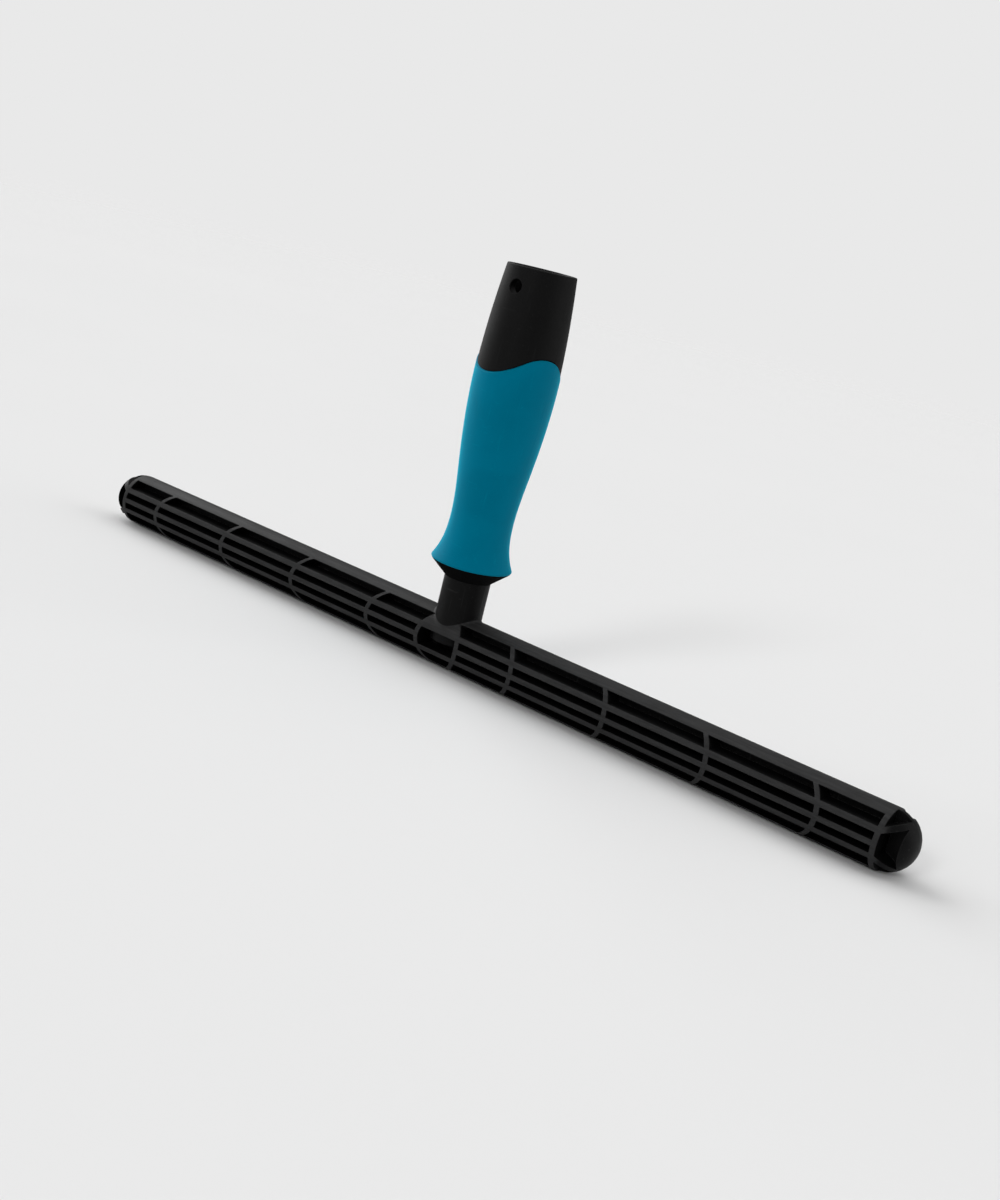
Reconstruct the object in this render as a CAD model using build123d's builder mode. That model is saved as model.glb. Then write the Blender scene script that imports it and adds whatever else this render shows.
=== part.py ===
"""Window washer's T-bar: a lattice bar that carries a washing sleeve, on a soft-grip handle.

Three mouldings: the sleeve bar with its tubular neck, the rigid core of the handle, which snaps
into the neck, and the soft grip moulded over the core. Millimetres, +Z up along the handle,
X along the bar. The origin is on the underside of the bar, below the handle's axis.
"""
import os
from math import cos, floor, radians, sqrt, tan

from build123d import *

# ---------------------------------------------------------------- driving dimensions
# Sleeve bar
bar_length = 450.0        # over the rounded ends
bar_d = 25.0              # round section that the sleeve slides over
rail = 2.05               # thickness of the top and bottom rails at their middle
fin = 2.2                 # thickness of the long fins
fin_pitch = 5.15          # height from one fin to the next
rib = 2.2                 # thickness of the cross ribs
web = 2.0                 # upright web that parts the front pockets from the back ones
centre_rib = 11.5         # from the middle of the bar to the first cross rib
near_bay = 30.3           # the short bay beside the neck
bay = 48.8                # every other bay
end_window = 8.45         # from the end frame to the solid end cap

# Neck, which is one with the bar
neck_d = 20.7
neck_top = 41.5           # height of the neck's rim above the underside of the bar
neck_root = 1.2           # blend between neck and bar

# Spigot of the handle in the neck
spigot_d = 14.0
spigot_flats = 12.0       # across the two flats that stop the handle turning
spigot_clearance = 0.1    # all round, in the neck
snap_lip = 1.2            # how far the two snap hooks reach under the bar's saddle
snap_height = 3.0
snap_slot = 3.0           # gap that lets the two prongs close
snap_slot_length = 22.0
snap_play = 0.15          # between the hooks and the saddle
hook_room = 0.8           # free space round the hooks, cut out of the web

# Handle outline: each height is a rise above the grip's lower lip
handle_length = 129.2     # from the lip to the top
collar_rise = 6.7         # height of the cone between the neck and the grip
lip_r = 18.4
throat_rise, throat_r = 7.3, 15.3
waist_rise, waist_r = 19.8, 13.8
palm_rise, palm_r = 42.8, 15.7
belly_rise, belly_r = 76.8, 18.3
shoulder_drop, shoulder_r = 17.6, 17.1     # drop is from the handle's top
end_r = 15.4
end_edge = 0.5            # rounding of the end's outer edge
collar_inset = 0.8        # the collar's rim lies inside the grip's lip

# Soft grip
grip_wall = 2.2
grip_proud = 0.4          # the grip stands proud of the bare end section
grip_edge = 0.5           # rounding of the lip's lower edge
crest_y, crest_drop = -0.9, 35.15          # top of the grip's rounded side tongues
crest_r = 14.0
crest_slope = 40.5                         # of the tongues' two flanks, degrees
crest_turn = -14.0                         # of the tongues about the handle's axis, degrees

# Pole socket and its lock hole
socket_d = 24.0
socket_depth = 65.0
socket_chamfer = 0.8
core_hole_d = 14.0        # coring below the socket, which keeps the walls even
core_floor = 6.0          # solid plastic between the coring and the collar
lock_hole_d = 6.2
lock_hole_drop = 8.6      # from the handle's top to the hole's middle
lock_hole_chamfer = 0.5

# ---------------------------------------------------------------- derived places
bar_r = bar_d / 2
neck_r = neck_d / 2
half_straight = bar_length / 2 - bar_r          # the end frame stands here
lip_height = neck_top + collar_rise
handle_top = lip_height + handle_length
saddle_underside = bar_r + fin_pitch - fin / 2
first_bay_rib = centre_rib + near_bay
full_bays = floor((half_straight - first_bay_rib) / bay)
rib_places = [centre_rib] + [first_bay_rib + bay * i for i in range(full_bays + 1)]
row_edges = [
    (fin_pitch + fin / 2, bar_r - rail),
    (fin / 2, fin_pitch - fin / 2),
    (fin / 2 - fin_pitch, -fin / 2),
    (rail - bar_r, -fin_pitch - fin / 2),
]
middle_window = (fin / 2 - fin_pitch, fin_pitch - fin / 2)

bar_front = Plane(origin=(0, 0, bar_r), x_dir=(1, 0, 0), z_dir=(0, -1, 0))
bar_axis = Axis((0, 0, bar_r), (1, 0, 0))


def setback(height):
    """How far a cross rib leans in from its middle at a height: it echoes the round bar."""
    return bar_r - sqrt(bar_r**2 - height**2)


def window(left, left_lean, right, right_lean, low, high):
    """One opening of the lattice; a lean of 1 bows a side to +X, -1 to -X, 0 is straight."""
    middle = (low + high) / 2

    def side(x, lean):
        return [(x - lean * setback(height), height) for height in (low, middle, high)]

    left_side, right_side = side(left, left_lean), side(right, right_lean)
    with BuildLine() as outline:
        for points in (left_side, right_side):
            if points[1][0] == points[0][0]:
                Line(points[0], points[2])
            else:
                ThreePointArc(*points)
        Line(left_side[0], right_side[0])
        Line(left_side[2], right_side[2])
    make_face(outline.edges())


def handle_outline(inset, start):
    """Half section of the handle's outer shape, drawn in by inset, from start to the top."""
    shape = [
        (throat_r, lip_height + throat_rise),
        (waist_r, lip_height + waist_rise),
        (palm_r, lip_height + palm_rise),
        (belly_r, lip_height + belly_rise),
        (shoulder_r, handle_top - shoulder_drop),
        (end_r, handle_top),
    ]
    points = [(radius - inset, height) for radius, height in [(lip_r, start)] + shape]
    with BuildLine() as outline:
        Spline(*points)
        Polyline(points[-1], (0, points[-1][1]), (0, start), points[0])
    make_face(outline.edges())


# ---------------------------------------------------------------- sleeve bar
with BuildSketch(bar_front) as side_windows:
    bay_ends = rib_places[1:] + [half_straight]
    for near, far in zip(rib_places, bay_ends):
        far_lean = 0 if far == half_straight else 1
        for low, high in row_edges:
            window(near + rib / 2, 1, far - rib / 2, far_lean, low, high)

    # The end bay: two fins spread to the edge of the end cap, open above, between and below.
    frame_x = half_straight + rib / 2
    cap_x = half_straight + end_window
    cap_height = sqrt(bar_r**2 - end_window**2)
    spread = (cap_height - fin_pitch) / end_window
    half_fin = fin / 2 * sqrt(1 + spread**2)
    frame_z = fin_pitch + spread * rib / 2
    with BuildLine():
        Polyline(
            (frame_x, frame_z - half_fin),
            (cap_x, cap_height - half_fin),
            (cap_x, half_fin - cap_height),
            (frame_x, half_fin - frame_z),
            close=True,
        )
    make_face()
    for up in (1, -1):
        with BuildLine():
            Polyline(
                (frame_x, up * (frame_z + half_fin)),
                (cap_x, up * (cap_height + half_fin)),
                (cap_x, up * bar_d),
                (frame_x, up * bar_d),
                close=True,
            )
        make_face()
    mirror(about=Plane.YZ)

with BuildSketch(bar_front) as lowest_centre_window:
    inner = centre_rib - rib / 2
    window(-inner, -1, inner, 1, *row_edges[3])

with BuildSketch(bar_front) as centre_window:
    window(-inner, -1, inner, 1, *middle_window)

with BuildPart() as pockets:
    extrude(side_windows.sketch, amount=bar_r, both=True)
    extrude(lowest_centre_window.sketch, amount=bar_r, both=True)
    extrude(centre_window.sketch, amount=bar_r, both=True)
    with BuildSketch(bar_front):
        Rectangle(bar_length, bar_d)
    extrude(amount=web / 2, both=True, mode=Mode.SUBTRACT)
    with BuildSketch(Plane.XY.offset(bar_r)):
        Circle(neck_r)
    extrude(amount=bar_r, mode=Mode.SUBTRACT)
    with BuildSketch(Plane.XY.offset(saddle_underside)):
        Circle(spigot_d / 2 + snap_lip + hook_room)
    extrude(amount=-(snap_play + snap_height + hook_room))

with BuildPart() as sleeve_bar:
    with BuildSketch(bar_front):
        with BuildLine():
            RadiusArc((half_straight, bar_r), (bar_length / 2, 0), bar_r)
            Polyline((bar_length / 2, 0), (-bar_length / 2, 0))
            RadiusArc((-bar_length / 2, 0), (-half_straight, bar_r), bar_r)
            Line((-half_straight, bar_r), (half_straight, bar_r))
        make_face()
    revolve(axis=bar_axis)
    with BuildSketch(Plane.XY.offset(bar_r)):
        Circle(neck_r)
    extrude(amount=neck_top - bar_r)
    neck_foot = edges().filter_by(GeomType.BSPLINE)
    fillet(neck_foot, neck_root)
    add(pockets.part, mode=Mode.SUBTRACT)
    # Socket for the handle's spigot, down through the saddle into the middle window.
    with BuildSketch(Plane.XY.offset(neck_top)):
        Circle(spigot_d / 2 + spigot_clearance)
        Rectangle(spigot_flats + 2 * spigot_clearance, bar_d, mode=Mode.INTERSECT)
    extrude(amount=saddle_underside - neck_top, mode=Mode.SUBTRACT)
sleeve_bar.part.label = "sleeve_bar"

# ---------------------------------------------------------------- side view of the grip's upper edge
apex_gap = crest_r / cos(radians(crest_slope)) - crest_r
apex = (crest_y, handle_top - crest_drop + apex_gap)
reach = 3 * lip_r
fall = reach * tan(radians(crest_slope))
with BuildPart() as below_tongues:
    with BuildSketch(Plane.YZ.rotated((0, 0, crest_turn))):
        with BuildLine() as edge_line:
            Polyline(
                (apex[0] - reach, apex[1] - fall),
                apex,
                (apex[0] + reach, apex[1] - fall),
            )
            fillet(edge_line.vertices().sort_by(Axis.Y)[-1], crest_r)
        with BuildLine():
            Polyline(
                (apex[0] - reach, apex[1] - fall),
                (apex[0] - reach, -2 * reach),
                (apex[0] + reach, -2 * reach),
                (apex[0] + reach, apex[1] - fall),
            )
        make_face()
    extrude(amount=2 * lip_r, both=True)

# ---------------------------------------------------------------- handle core
with BuildPart() as handle_core:
    # Bare end section, above the grip's tongues.
    with BuildSketch(Plane.XZ):
        handle_outline(grip_proud, lip_height)
    revolve(axis=Axis.Z)
    fillet(edges().group_by(Axis.Z)[-1], end_edge)
    add(below_tongues.part, mode=Mode.SUBTRACT)
    # The core that the grip is moulded over.
    with BuildSketch(Plane.XZ):
        handle_outline(grip_wall, lip_height)
    revolve(axis=Axis.Z)
    # Collar cone, seated on the neck's rim.
    with BuildSketch(Plane.XZ):
        with BuildLine():
            Polyline(
                (0, neck_top),
                (neck_r, neck_top),
                (lip_r - collar_inset, lip_height - collar_inset / 2),
                (lip_r - collar_inset, lip_height),
                (0, lip_height),
                close=True,
            )
        make_face()
    revolve(axis=Axis.Z)
    # Spigot with two flats, ending in two snap hooks under the bar's saddle.
    hook_top = saddle_underside - snap_play
    hook_foot = hook_top - snap_height
    with BuildSketch(Plane.XY.offset(neck_top)):
        Circle(spigot_d / 2)
        Rectangle(spigot_flats, bar_d, mode=Mode.INTERSECT)
    extrude(amount=hook_foot - neck_top)
    with BuildSketch(Plane.XY.offset(hook_top)):
        Circle(spigot_d / 2 + snap_lip)
        Rectangle(spigot_flats, bar_d, mode=Mode.INTERSECT)
    with BuildSketch(Plane.XY.offset(hook_foot)):
        Circle(spigot_d / 2 - snap_lip / 2)
        Rectangle(spigot_flats, bar_d, mode=Mode.INTERSECT)
    loft()
    with BuildSketch(Plane.XY.offset(hook_foot)):
        Rectangle(bar_d, snap_slot)
    extrude(amount=snap_slot_length, mode=Mode.SUBTRACT)
    # Pole socket, with the coring below it.
    with BuildSketch(Plane.XY.offset(handle_top)):
        Circle(socket_d / 2)
    extrude(amount=-socket_depth, mode=Mode.SUBTRACT)
    with BuildSketch(Plane.XY.offset(handle_top - socket_depth)):
        Circle(core_hole_d / 2)
    extrude(amount=lip_height + core_floor + socket_depth - handle_top, mode=Mode.SUBTRACT)
    socket_mouth = edges().filter_by(GeomType.CIRCLE).group_by(Axis.Z)[-1].sort_by(SortBy.RADIUS)[0]
    chamfer(socket_mouth, socket_chamfer)
    # Lock hole, through the front wall only.
    with BuildSketch(Plane.XZ):
        with Locations((0, handle_top - lock_hole_drop)):
            Circle(lock_hole_d / 2)
    extrude(amount=lip_r, mode=Mode.SUBTRACT)
    hole_rim = edges().filter_by(GeomType.BSPLINE).group_by(Axis.Y)[0]
    chamfer(hole_rim, lock_hole_chamfer)
handle_core.part.label = "handle_core"

# ---------------------------------------------------------------- soft grip
with BuildPart() as grip_sleeve:
    with BuildSketch(Plane.XZ):
        handle_outline(0, lip_height)
    revolve(axis=Axis.Z)
    fillet(edges().group_by(Axis.Z)[0], grip_edge)
    with BuildSketch(Plane.XZ):
        handle_outline(grip_wall, lip_height)
    revolve(axis=Axis.Z, mode=Mode.SUBTRACT)
    add(below_tongues.part, mode=Mode.INTERSECT)
grip_sleeve.part.label = "grip_sleeve"

# ---------------------------------------------------------------- export
os.makedirs("parts", exist_ok=True)
export_step(sleeve_bar.part, "parts/sleeve_bar.step")
export_step(handle_core.part, "parts/handle_core.step")
export_step(grip_sleeve.part, "parts/grip_sleeve.step")
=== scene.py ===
# %% [markdown]
# A window washer's T-bar: a black lattice bar that carries a washing sleeve, and a handle with a
# teal soft grip. The CAD file already holds every real shape, so this lesson gives the three
# mouldings their surfaces, and sets them on a pale studio floor. First the CAD frame is loaded.

# %% Load the frame
from math import cos, radians, sin

import bpy
from mathutils import Matrix, Vector


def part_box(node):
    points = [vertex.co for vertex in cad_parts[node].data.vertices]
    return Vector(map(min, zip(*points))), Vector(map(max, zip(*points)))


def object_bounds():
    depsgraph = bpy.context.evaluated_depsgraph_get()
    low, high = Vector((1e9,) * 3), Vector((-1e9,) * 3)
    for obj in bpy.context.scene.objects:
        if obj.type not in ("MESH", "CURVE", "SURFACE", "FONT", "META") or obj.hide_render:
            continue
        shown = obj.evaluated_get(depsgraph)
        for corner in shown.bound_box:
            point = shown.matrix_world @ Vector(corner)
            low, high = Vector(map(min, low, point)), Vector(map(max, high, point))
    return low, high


MM_PER_M, M_PER_MM = 1000.0, 0.001

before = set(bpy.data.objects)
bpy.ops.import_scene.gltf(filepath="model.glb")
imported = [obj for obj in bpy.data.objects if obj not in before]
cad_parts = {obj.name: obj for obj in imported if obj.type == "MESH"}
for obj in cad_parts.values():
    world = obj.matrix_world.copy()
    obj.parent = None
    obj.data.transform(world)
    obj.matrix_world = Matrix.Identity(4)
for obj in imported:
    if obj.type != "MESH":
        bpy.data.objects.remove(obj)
cad_low, cad_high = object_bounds()
print("nodes:", sorted(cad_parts))
print("CAD box, mm:", [round(MM_PER_M * (h - l), 1) for l, h in zip(cad_low, cad_high)])

# %% [markdown]
# The camera looks down at the bar from near its right end. Its lens and place were worked out once,
# in the tool's own frame, so they are written as plain values: where it stands, where it looks and
# which way is up. The tool is seen slightly rolled, which is why "up" isn't exactly +Z.

# %% Camera
camera_data = bpy.data.cameras.new("studio_camera")
camera_data.lens = 47.21
camera_data.sensor_width = 36.0
camera_data.clip_start = 0.01
camera = bpy.data.objects.new("studio_camera", camera_data)
bpy.context.scene.collection.objects.link(camera)
forward = Vector((-0.55028, 0.80121, -0.23507)).normalized()
right = forward.cross(Vector((-0.32801, 0.05147, 0.94327))).normalized()
turn = Matrix((right, right.cross(forward), -forward)).transposed().to_4x4()
camera.matrix_world = Matrix.Translation((0.3927, -0.5436, 0.1976)) @ turn
bpy.context.scene.camera = camera
print("camera to the origin, mm:", round(MM_PER_M * camera.location.length))

# %% [markdown]
# Every material below is a small network of shader nodes. Three helpers keep the networks short:
# one adds a node and sets its values, one opens a new node group, which is an effect that several
# materials share, with its own named inputs and outputs, and one puts such a group into a material.

# %% Node helpers
def add_node(tree, kind, inputs=None, **settings):
    """One node in a tree: settings are its options, inputs its values or the sockets that feed it."""
    node = tree.nodes.new(kind)
    for name, value in settings.items():
        setattr(node, name, value)
    for name, value in (inputs or {}).items():
        if isinstance(value, bpy.types.NodeSocket):
            tree.links.new(value, node.inputs[name])
        else:
            node.inputs[name].default_value = value
    return node


def new_group(name, inputs, outputs):
    """A shader node group. inputs maps a name to (socket kind, value), outputs a name to a kind."""
    group = bpy.data.node_groups.new(name, "ShaderNodeTree")
    for label, (kind, value) in inputs.items():
        socket = group.interface.new_socket(label, in_out="INPUT", socket_type=kind)
        socket.default_value = value
    for label, kind in outputs.items():
        group.interface.new_socket(label, in_out="OUTPUT", socket_type=kind)
    entry = group.nodes.new("NodeGroupInput")
    leave = group.nodes.new("NodeGroupOutput")
    return group, entry.outputs, leave.inputs


def place_group(tree, group, **inputs):
    """The group as a node in a material; an input's name is given with _ for each space."""
    values = {name.replace("_", " "): value for name, value in inputs.items()}
    return add_node(tree, "ShaderNodeGroup", values, node_tree=group).outputs


FLOAT, VECTOR = "NodeSocketFloat", "NodeSocketVector"
print("node helpers ready")

# %% [markdown]
# A few short forms stand for what comes up again and again: a sum, a change of range, a blend of
# two colours, a neutral colour, a new material, and the last links of a moulded surface.

# %% Short forms
def calculate(tree, operation, first, second):
    """The result of one sum on two numbers, each a value or the socket that gives it."""
    return add_node(tree, "ShaderNodeMath", {0: first, 1: second}, operation=operation).outputs[0]


def remap(tree, value, source, target=(0.0, 1.0), curve="SMOOTHSTEP"):
    """A number taken from the range source to the range target, with soft or straight ends."""
    limits = {"From Min": source[0], "From Max": source[1], "To Min": target[0], "To Max": target[1]}
    node = add_node(tree, "ShaderNodeMapRange", {"Value": value, **limits}, interpolation_type=curve)
    return node.outputs["Result"]


def blend(tree, factor, first, second):
    """A colour between first, at factor 0, and second, at factor 1."""
    mix = add_node(tree, "ShaderNodeMix", {"Factor": factor, "A": first, "B": second}, data_type="RGBA")
    return mix.outputs["Result"]


def grey(tone):
    """A neutral colour of one tone, with full opacity."""
    return (tone, tone, tone, 1.0)


def new_material(name):
    """An empty material, its node tree and its main shader."""
    material = bpy.data.materials.new(name)
    material.use_nodes = True
    return material, material.node_tree, material.node_tree.nodes["Principled BSDF"]


def finish_surface(tree, shader, colour, roughness, grain, edges, grain_depth):
    """Feeds a moulded surface's colour, roughness and fine relief to its shader."""
    bump = add_node(
        tree, "ShaderNodeBump",
        {"Strength": 0.5, "Distance": grain_depth, "Height": grain["Height"],
         "Normal": edges["Rounded Normal"]},
    )
    tree.links.new(colour, shader.inputs["Base Color"])
    tree.links.new(roughness, shader.inputs["Roughness"])
    tree.links.new(bump.outputs["Normal"], shader.inputs["Normal"])


print("short forms ready")

# %% [markdown]
# A plastic moulding copies the steel it was moulded against. The mould is spark eroded, so the
# part has a very fine, even grain of small rounded pits, and the plastic's flow leaves broad, faint
# patches that are a little glossier. This group gives both: a height for the grain, and a slow
# value between 0 and 1 for the patches.

# %% Grain of a moulded surface
mould_grain, grain_in, grain_out = new_group(
    "mould_grain",
    {"Grain Size mm": (FLOAT, 0.35), "Patch Size mm": (FLOAT, 30.0)},
    {"Height": FLOAT, "Patches": FLOAT},
)
place = add_node(mould_grain, "ShaderNodeTexCoord").outputs["Object"]
per_grain = calculate(mould_grain, "DIVIDE", MM_PER_M, grain_in["Grain Size mm"])
per_patch = calculate(mould_grain, "DIVIDE", MM_PER_M, grain_in["Patch Size mm"])
fine = add_node(
    mould_grain, "ShaderNodeTexNoise",
    {"Vector": place, "Scale": per_grain, "Detail": 2.0, "Roughness": 0.6},
)
slow = add_node(
    mould_grain, "ShaderNodeTexNoise",
    {"Vector": place, "Scale": per_patch, "Detail": 3.0, "Distortion": 0.6},
)
mould_grain.links.new(fine.outputs[0], grain_out["Height"])
mould_grain.links.new(remap(mould_grain, slow.outputs[0], (0.35, 0.65)), grain_out["Patches"])
print("group:", mould_grain.name)

# %% [markdown]
# No moulded edge is perfectly sharp, and every edge of a tool that is carried in a bucket gets
# rubbed. The Bevel node gives the surface direction as if the edges were rounded. Where that
# differs from the flat faces there is an edge, and noise breaks it up so the rub isn't even.

# %% Rubbed edges
rubbed_edges, edge_in, edge_out = new_group(
    "rubbed_edges",
    {"Radius mm": (FLOAT, 0.3), "Amount": (FLOAT, 1.0)},
    {"Edge": FLOAT, "Rounded Normal": VECTOR},
)
in_metres = calculate(rubbed_edges, "MULTIPLY", edge_in["Radius mm"], M_PER_MM)
rounded = add_node(rubbed_edges, "ShaderNodeBevel", {"Radius": in_metres}, samples=6).outputs[0]
flat = add_node(rubbed_edges, "ShaderNodeNewGeometry").outputs["Normal"]
agree = add_node(rubbed_edges, "ShaderNodeVectorMath", {0: rounded, 1: flat}, operation="DOT_PRODUCT")
edge = remap(rubbed_edges, agree.outputs["Value"], (0.995, 0.75))
spot = add_node(rubbed_edges, "ShaderNodeTexCoord").outputs["Object"]
uneven = add_node(rubbed_edges, "ShaderNodeTexNoise", {"Vector": spot, "Scale": 220.0, "Detail": 4.0})
uneven_mask = remap(rubbed_edges, uneven.outputs[0], (0.38, 0.62), (0.35, 1.0), "LINEAR")
broken = calculate(rubbed_edges, "MULTIPLY", edge, uneven_mask)
scaled = calculate(rubbed_edges, "MULTIPLY", broken, edge_in["Amount"])
rubbed_edges.links.new(scaled, edge_out["Edge"])
rubbed_edges.links.new(rounded, edge_out["Rounded Normal"])
print("group:", rubbed_edges.name)

# %% [markdown]
# Dry handling leaves hair-thin scuffs in all directions. A noise stretched far along one direction
# gives streaks; only its brightest crests are kept, so the scuffs are few and short.

# %% Light scuffs
light_scuffs, scuff_in, scuff_out = new_group(
    "light_scuffs",
    {"Amount": (FLOAT, 1.0)},
    {"Scuffs": FLOAT},
)
spot = add_node(light_scuffs, "ShaderNodeTexCoord").outputs["Object"]
crests = []
for turning, squeeze in [
    ((0.0, 0.5, 0.35), (900.0, 900.0, 40.0)),
    ((0.3, -0.9, -0.63), (60.0, 1100.0, 900.0)),
]:
    turned = add_node(
        light_scuffs, "ShaderNodeMapping", {"Vector": spot, "Rotation": turning, "Scale": squeeze},
    ).outputs[0]
    streak = add_node(light_scuffs, "ShaderNodeTexNoise", {"Vector": turned, "Scale": 1.0, "Detail": 1.0})
    crests.append(remap(light_scuffs, streak.outputs[0], (0.66, 0.8), curve="LINEAR"))
either = calculate(light_scuffs, "MAXIMUM", *crests)
scuffs = calculate(light_scuffs, "MULTIPLY", either, scuff_in["Amount"])
light_scuffs.links.new(scuffs, scuff_out["Scuffs"])
print("group:", light_scuffs.name)

# %% [markdown]
# The washing sleeve is pulled on and off along the bar, and its cloth scuffs just the outermost
# skin: the faces of the fins and ribs that lie on the bar's round outline. Deep in the pockets the
# plastic stays as it left the mould. So this group measures how far a point is from the bar's axis,
# and breaks the result into streaks along the bar. The axis and radius come from the CAD box.

# %% Scuffing by the sleeve
bar_low, bar_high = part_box("sleeve_bar")
bar_radius = (bar_high[1] - bar_low[1]) / 2
sleeve_rub, rub_in, rub_out = new_group(
    "sleeve_rub",
    {"Bar Radius": (FLOAT, bar_radius), "Depth mm": (FLOAT, 0.5)},
    {"Rub": FLOAT},
)
spot = add_node(sleeve_rub, "ShaderNodeTexCoord").outputs["Object"]
axis_height = calculate(sleeve_rub, "ADD", rub_in["Bar Radius"], bar_low[2])
on_axis = add_node(sleeve_rub, "ShaderNodeCombineXYZ", {"Z": axis_height}).outputs[0]
from_axis = add_node(sleeve_rub, "ShaderNodeVectorMath", {0: spot, 1: on_axis}, operation="SUBTRACT")
across = add_node(
    sleeve_rub, "ShaderNodeVectorMath", {0: from_axis.outputs[0], 1: (0.0, 1.0, 1.0)}, operation="MULTIPLY",
).outputs[0]
distance = add_node(sleeve_rub, "ShaderNodeVectorMath", {0: across}, operation="LENGTH").outputs["Value"]
depth = calculate(sleeve_rub, "MULTIPLY", rub_in["Depth mm"], M_PER_MM)
inner = calculate(sleeve_rub, "SUBTRACT", rub_in["Bar Radius"], depth)
skin = remap(sleeve_rub, distance, (inner, rub_in["Bar Radius"]))
beyond_bar = calculate(sleeve_rub, "MULTIPLY", rub_in["Bar Radius"], 1.05)
below_neck = calculate(sleeve_rub, "LESS_THAN", distance, beyond_bar)
drawn = add_node(sleeve_rub, "ShaderNodeMapping", {"Vector": spot, "Scale": (90.0, 900.0, 900.0)}).outputs[0]
streaks = add_node(sleeve_rub, "ShaderNodeTexNoise", {"Vector": drawn, "Scale": 1.0, "Detail": 3.0})
streak_mask = remap(sleeve_rub, streaks.outputs[0], (0.3, 0.7), (0.55, 1.0), "LINEAR")
on_skin = calculate(sleeve_rub, "MULTIPLY", skin, below_neck)
rubbed = calculate(sleeve_rub, "MULTIPLY", on_skin, streak_mask)
sleeve_rub.links.new(rubbed, rub_out["Rub"])
print("group:", sleeve_rub.name, "bar radius, mm:", round(MM_PER_M * bar_radius, 2))

# %% [markdown]
# The black mouldings are polypropylene: almost black all through, satin, a touch lighter where an
# edge is rubbed. The bar and the handle come out of different moulds, so one function makes the
# material and each moulding gets its own grain and gloss. Only the bar has the sleeve's scuffing.
# Below the grip's lower lip, on the collar and on the hooks inside the bar, the handle's core is painted as
# shade, because the collar lies in the grip's shadow there. It gets none of the paler rubbed edges and
# scuffs, and it is rougher and less shiny, so it looks darker.

# %% Black polypropylene
def black_polypropylene(name, dark, pale, gloss, grain_mm, edge_mm, under_sleeve, lip_shade_height):
    """A satin black plastic: dark is its own colour and pale that of the rubbed places; below the given
    height it is kept darker and duller as painted shade.
    """
    dull_roughness, dull_shine, satin_shine = 0.9, 0.02, 0.1
    material, tree, shader = new_material(name)
    grain = place_group(tree, mould_grain, Grain_Size_mm=grain_mm, Patch_Size_mm=35.0)
    edges = place_group(tree, rubbed_edges, Radius_mm=edge_mm, Amount=1.0)
    marks = place_group(tree, light_scuffs, Amount=0.4)
    worn = calculate(tree, "MAXIMUM", edges["Edge"], marks["Scuffs"])
    if under_sleeve:
        rub = place_group(tree, sleeve_rub, Bar_Radius=bar_radius, Depth_mm=0.5)["Rub"]
        worn = calculate(tree, "MAXIMUM", worn, rub)
    spot = add_node(tree, "ShaderNodeTexCoord").outputs["Object"]
    height = add_node(tree, "ShaderNodeSeparateXYZ", {0: spot}).outputs["Z"]
    soft = 0.6 * M_PER_MM
    # Painted shade mask: 0 below the given height, where the core is kept darker and duller as shade, and 1
    # above it.
    outside_lip_shade = remap(tree, height, (lip_shade_height - soft, lip_shade_height + soft))
    worn = calculate(tree, "MULTIPLY", worn, outside_lip_shade)
    patched = blend(tree, grain["Patches"], dark, [1.25 * c for c in dark[:3]] + [1.0])
    satin = remap(tree, grain["Patches"], (0.0, 1.0), (gloss - 0.03, gloss + 0.05), "LINEAR")
    rough_mix = add_node(tree, "ShaderNodeMix", {"Factor": outside_lip_shade, "A": dull_roughness, "B": satin})
    rough = rough_mix.outputs["Result"]
    finish_surface(tree, shader, blend(tree, worn, patched, pale), rough, grain, edges, 0.04 * M_PER_MM)
    shine = remap(tree, outside_lip_shade, (0.0, 1.0), (dull_shine, satin_shine), "LINEAR")
    tree.links.new(shine, shader.inputs["Specular IOR Level"])
    return material


grip_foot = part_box("grip_sleeve")[0][2]
under_everything = -1.0
bar_black = black_polypropylene(
    "bar_black", dark=(0.0018, 0.0018, 0.0019, 1.0), pale=(0.03, 0.03, 0.0305, 1.0), gloss=0.5,
    grain_mm=0.35, edge_mm=0.35, under_sleeve=True, lip_shade_height=under_everything,
)
# The handle's core is painted as shade below the grip's foot, where the collar lies under the grip's lip.
handle_black = black_polypropylene(
    "handle_black", dark=(0.003, 0.003, 0.0031, 1.0), pale=(0.012, 0.012, 0.0124, 1.0), gloss=0.55,
    grain_mm=0.3, edge_mm=0.4, under_sleeve=False, lip_shade_height=grip_foot,
)
print("materials:", bar_black.name, handle_black.name)

# %% [markdown]
# The grip is a soft rubbery plastic, moulded over the handle's core. It is matt and slightly
# velvety, so its rim catches light, and it has no hard sparkle at all. Broad patches change its
# tone a little, as they do on a grip that hands have polished.

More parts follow.
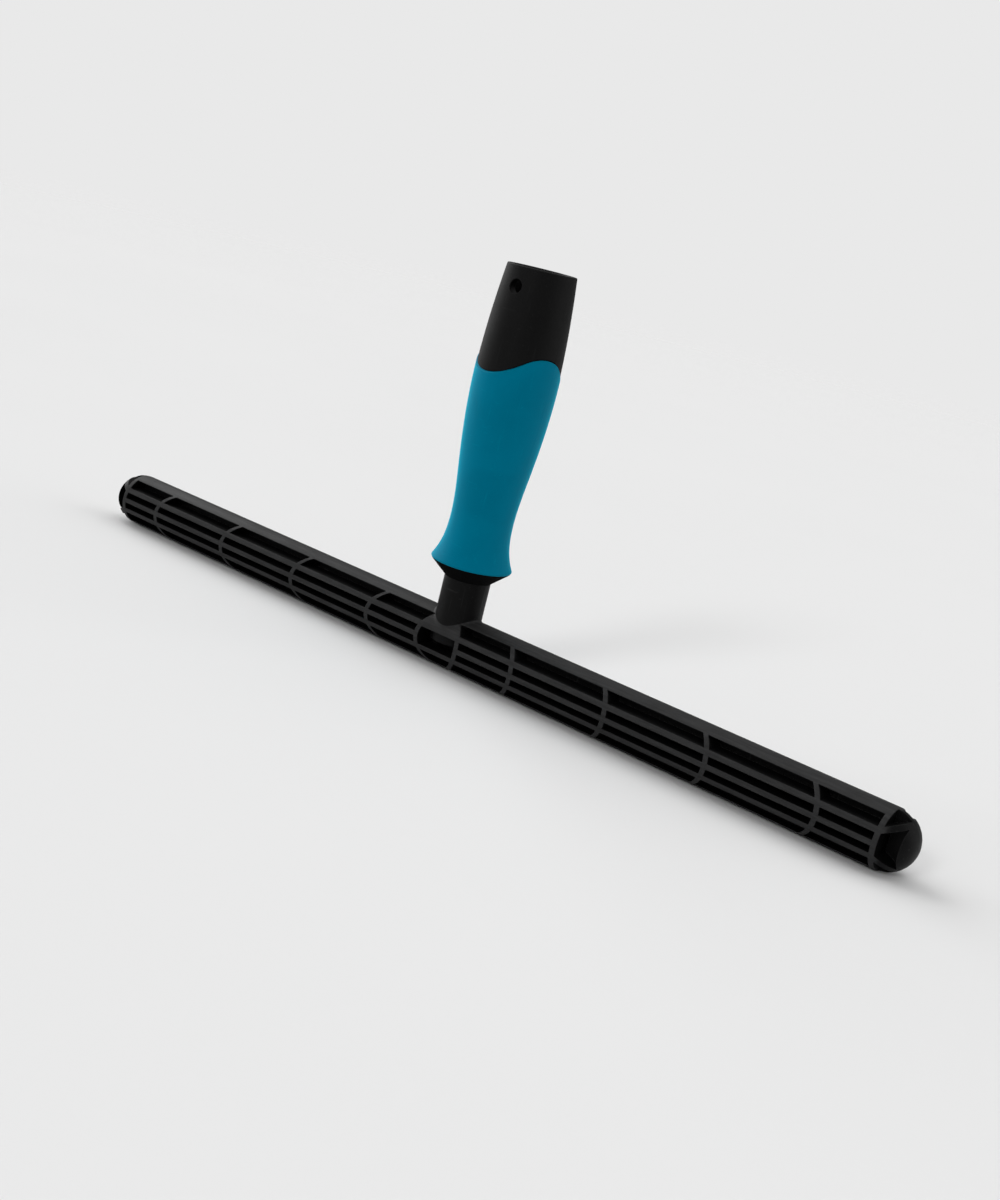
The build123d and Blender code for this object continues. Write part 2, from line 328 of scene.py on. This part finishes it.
# %% Teal soft grip
def soft_grip_teal(name, deep, light, worn_tone, gloss):
    """A matt soft plastic in two close tones, paler where it is worn, with a velvety rim."""
    material, tree, shader = new_material(name)
    grain = place_group(tree, mould_grain, Grain_Size_mm=0.45, Patch_Size_mm=28.0)
    edges = place_group(tree, rubbed_edges, Radius_mm=0.5, Amount=0.5)
    marks = place_group(tree, light_scuffs, Amount=0.25)
    worn = calculate(tree, "MAXIMUM", edges["Edge"], marks["Scuffs"])
    patched = blend(tree, grain["Patches"], deep, light)
    rough = remap(tree, grain["Patches"], (0.0, 1.0), (gloss - 0.04, gloss + 0.04), "LINEAR")
    finish_surface(tree, shader, blend(tree, worn, patched, worn_tone), rough, grain, edges, 0.05 * M_PER_MM)
    shader.inputs["Specular IOR Level"].default_value = 0.06
    shader.inputs["Specular Tint"].default_value = (0.0, 0.55, 0.85, 1.0)
    shader.inputs["Sheen Weight"].default_value = 1.0
    shader.inputs["Sheen Roughness"].default_value = 0.35
    shader.inputs["Sheen Tint"].default_value = (0.0, 0.75, 1.0, 1.0)
    return material


grip_teal = soft_grip_teal(
    "grip_teal", deep=(0.0, 0.15, 0.246, 1.0), light=(0.0, 0.165, 0.27, 1.0),
    worn_tone=(0.0, 0.23, 0.34, 1.0), gloss=0.6,
)
print("material:", grip_teal.name)

# %% [markdown]
# A CAD node keeps its shape, and takes its finish through its material slots.

# %% Dress the mouldings
def dress(node, material):
    """Gives one CAD node a material in each of its slots."""
    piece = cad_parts[node]
    for holder in piece.material_slots:
        holder.material = material
    low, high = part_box(node)
    print(node, "is", [round(MM_PER_M * (h - l), 1) for l, h in zip(low, high)], "mm in", material.name)


dress("sleeve_bar", bar_black)
dress("handle_core", handle_black)
dress("grip_sleeve", grip_teal)

# %% [markdown]
# The studio floor is one pale, dead-matt sheet. It fades out far from the tool, so the horizon is
# no hard line from any side.

# %% Floor
floor_mesh = bpy.data.meshes.new("studio_floor")
reach, fade_start, fade_end = 4.0, 1.5, 3.8
ground = cad_low[2]
corners = [(-reach, -reach, ground), (reach, -reach, ground), (reach, reach, ground), (-reach, reach, ground)]
floor_mesh.from_pydata(corners, [], [(0, 1, 2, 3)])
floor = bpy.data.objects.new("studio_floor", floor_mesh)
bpy.context.scene.collection.objects.link(floor)
paper, tree, shader = new_material("studio_paper")
where = add_node(tree, "ShaderNodeTexCoord").outputs["Object"]
mottle = add_node(tree, "ShaderNodeTexNoise", {"Vector": where, "Scale": 3.0, "Detail": 3.0})
tone = blend(tree, mottle.outputs[0], grey(0.762), grey(0.78))
away = add_node(tree, "ShaderNodeVectorMath", {0: where}, operation="LENGTH").outputs["Value"]
solid = remap(tree, away, (fade_start, fade_end), (1.0, 0.0))
tree.links.new(tone, shader.inputs["Base Color"])
tree.links.new(solid, shader.inputs["Alpha"])
shader.inputs["Roughness"].default_value = 1.0
shader.inputs["Specular IOR Level"].default_value = 0.0
floor_mesh.materials.append(paper)
print("floor at", round(MM_PER_M * cad_low[2], 2), "mm")

# %% [markdown]
# Light comes from soft boxes that are painted into the world, so they are as good as infinitely
# far away, and the floor is lit evenly right across. Each box is a round patch of light in one
# direction with a soft rim: a small bright one in front, which throws the handle's shadow back over
# the floor, a wide one on the left, a weak one behind on the right, and a wide one overhead. A faint
# light from all round fills the shadows. What the camera sees behind the floor is the floor's tone.

# %% Soft studio light
def from_side(azimuth, elevation):
    """Unit vector towards a light; azimuth 0 is the front (-Y) and 90 the right (+X)."""
    a, e = radians(azimuth), radians(elevation)
    return (sin(a) * cos(e), -cos(a) * cos(e), sin(e))


world = bpy.data.worlds.new("studio_world")
world.use_nodes = True
bpy.context.scene.world = world
tree = world.node_tree
tree.nodes.clear()
towards = add_node(tree, "ShaderNodeTexCoord").outputs["Generated"]
soft_boxes = [  # name, direction, rim and full-strength core in degrees from its centre, strength
    ("front", from_side(0, 30), 9, 4, 17.0),
    ("left", from_side(-93, 27), 38, 16, 3.3),
    ("back_right", from_side(122, 26), 34, 12, 1.2),
    ("overhead", from_side(180, 76), 42, 16, 1.0),
]
all_round = 0.23
backdrop = 0.8148
light = all_round
for name, centre, outer, inner, strength in soft_boxes:
    facing = add_node(tree, "ShaderNodeVectorMath", {0: towards, 1: centre}, operation="DOT_PRODUCT")
    rim_to_core = (cos(radians(outer)), cos(radians(inner)))
    light = calculate(tree, "ADD", light, remap(tree, facing.outputs["Value"], rim_to_core, (0.0, strength)))
glow = add_node(tree, "ShaderNodeBackground", {"Color": grey(1.0), "Strength": light})
behind = add_node(tree, "ShaderNodeBackground", {"Color": grey(backdrop), "Strength": 1.0})
seen = add_node(tree, "ShaderNodeLightPath").outputs["Is Camera Ray"]
both = add_node(tree, "ShaderNodeMixShader", {0: seen, 1: glow.outputs[0], 2: behind.outputs[0]})
add_node(tree, "ShaderNodeOutputWorld", {"Surface": both.outputs[0]})
bpy.context.scene.view_settings.view_transform = "Standard"
bpy.context.scene.view_settings.look = "None"
print("soft boxes:", [name for name, *rest in soft_boxes])
